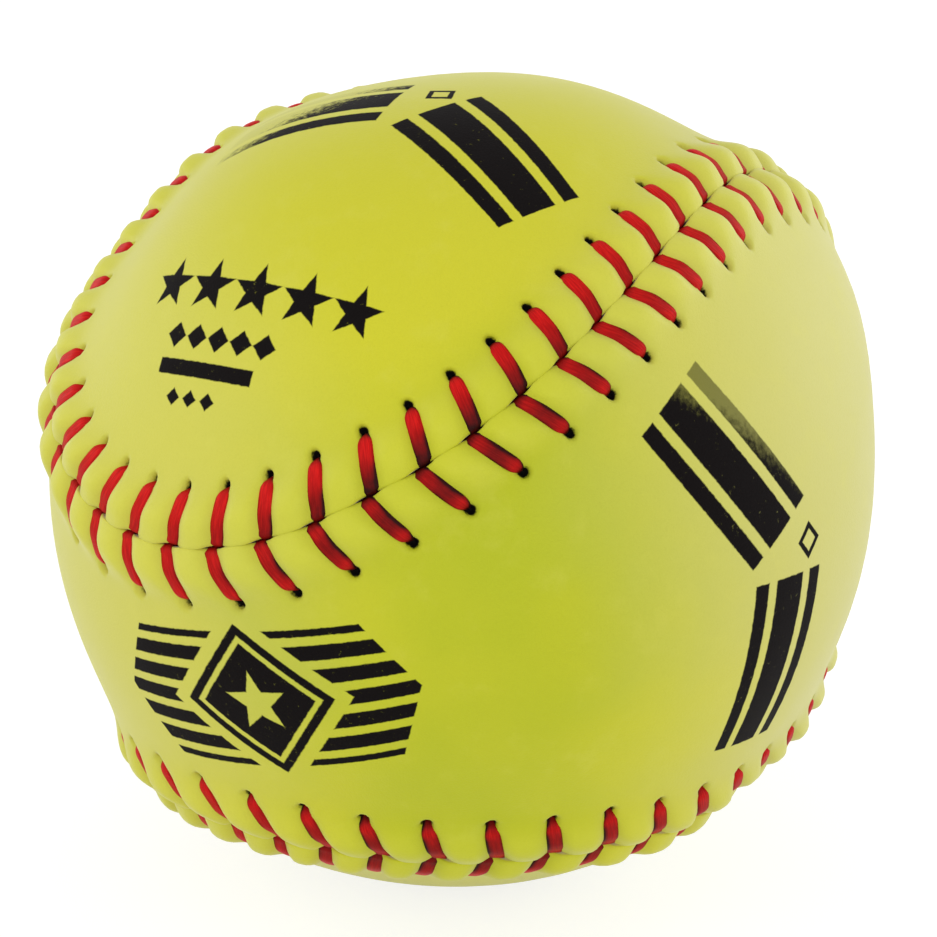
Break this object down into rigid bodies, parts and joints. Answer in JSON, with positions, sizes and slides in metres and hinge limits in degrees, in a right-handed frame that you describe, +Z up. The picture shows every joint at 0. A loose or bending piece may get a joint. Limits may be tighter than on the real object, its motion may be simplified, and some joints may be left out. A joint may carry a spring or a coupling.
{
  "type": "softball",
  "caption": "Leather-covered softball for fast and slow pitch, sewn from figure-eight panels over a wound core with a raised herringbone seam.",
  "frame": {"origin": "centre of the ball, which is its centre of mass", "axes": "+Z up through the ball as it rests, -Z through the plain leather that it rests on, and the picture looks along +Y with +X to the right"},
  "size_m": [0.0884, 0.0894, 0.0879],
  "materials": {
    "core_polyurethane": "closed-cell moulded foam",
    "winding_yarn": "tightly wound cotton and polyester yarn",
    "rubber_cement": "dried tacky film",
    "cover_leather": "optic yellow smooth leather with a soft sheen",
    "waxed_thread": "flat waxed red thread"
  },
  "bodies": {
    "root": {"core": "core_polyurethane", "yarn_winding": "winding_yarn", "cement_coat": "rubber_cement", "cover_panel_a": "cover_leather", "cover_panel_b": "cover_leather", "stitch_thread_a": "waxed_thread", "stitch_thread_b": "waxed_thread"}
  },
  "joints": []
}
